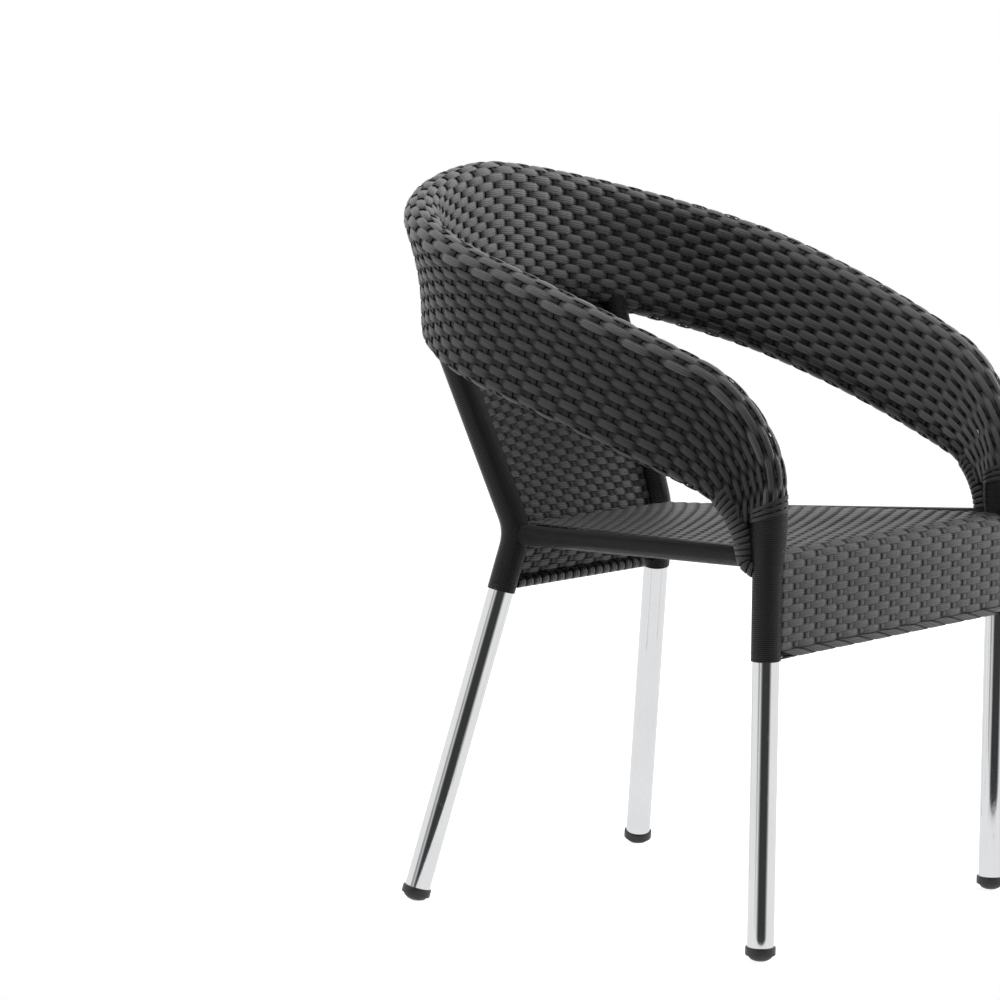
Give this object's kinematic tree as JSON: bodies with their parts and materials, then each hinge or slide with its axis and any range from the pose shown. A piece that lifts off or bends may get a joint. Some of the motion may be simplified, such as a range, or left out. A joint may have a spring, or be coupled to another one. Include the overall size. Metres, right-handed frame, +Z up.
{
  "type": "woven armchair",
  "caption": "Stackable bistro armchair: bent aluminium tube frame in a wraparound woven band, with a woven seat, apron and back panel.",
  "frame": {"origin": "on the floor under the middle of the chair's outline", "axes": "+Z up, -Y the way the sitter looks, +X to the sitter's left"},
  "size_m": [0.6216, 0.5672, 0.7988],
  "materials": {
    "aluminium": "polished tube, bare and smooth",
    "band_weave": "satin charcoal strips with fine grooves along them",
    "seat_weave": "satin charcoal strips with fine grooves along them",
    "cane": "satin black strip, finely wound",
    "cap_plastic": "black moulded plastic"
  },
  "bodies": {
    "root": {"seat_front_rail": "aluminium", "seat_rear_rail": "aluminium", "apron_bottom_rail": "aluminium", "back_bottom_rail": "aluminium", "front_leg_right": "aluminium", "front_leg_left": "aluminium", "rear_leg_right": "aluminium", "rear_leg_left": "aluminium", "seat_side_rail_right": "aluminium", "seat_side_rail_left": "aluminium", "seat_cross_brace_1": "aluminium", "seat_cross_brace_2": "aluminium", "arm_hoop_tube": "aluminium", "band_lower_rod": "aluminium", "band_rib_right_arm": "aluminium", "band_rib_right_back": "aluminium", "band_rib_middle": "aluminium", "band_rib_left_back": "aluminium", "band_rib_left_arm": "aluminium", "band_weave": "band_weave", "front_leg_wrap_right": "cane", "front_leg_wrap_left": "cane", "rear_leg_wrap_right": "cane", "rear_leg_wrap_left": "cane", "side_rail_wrap_right": "cane", "side_rail_wrap_left": "cane", "foot_cap_front_right": "cap_plastic", "foot_cap_front_left": "cap_plastic", "foot_cap_rear_right": "cap_plastic", "foot_cap_rear_left": "cap_plastic", "seat_weave": "seat_weave", "apron_weave": "seat_weave", "apron_bottom_braid": "seat_weave", "back_weave": "band_weave", "back_rail_wrap": "cane"}
  },
  "joints": []
}
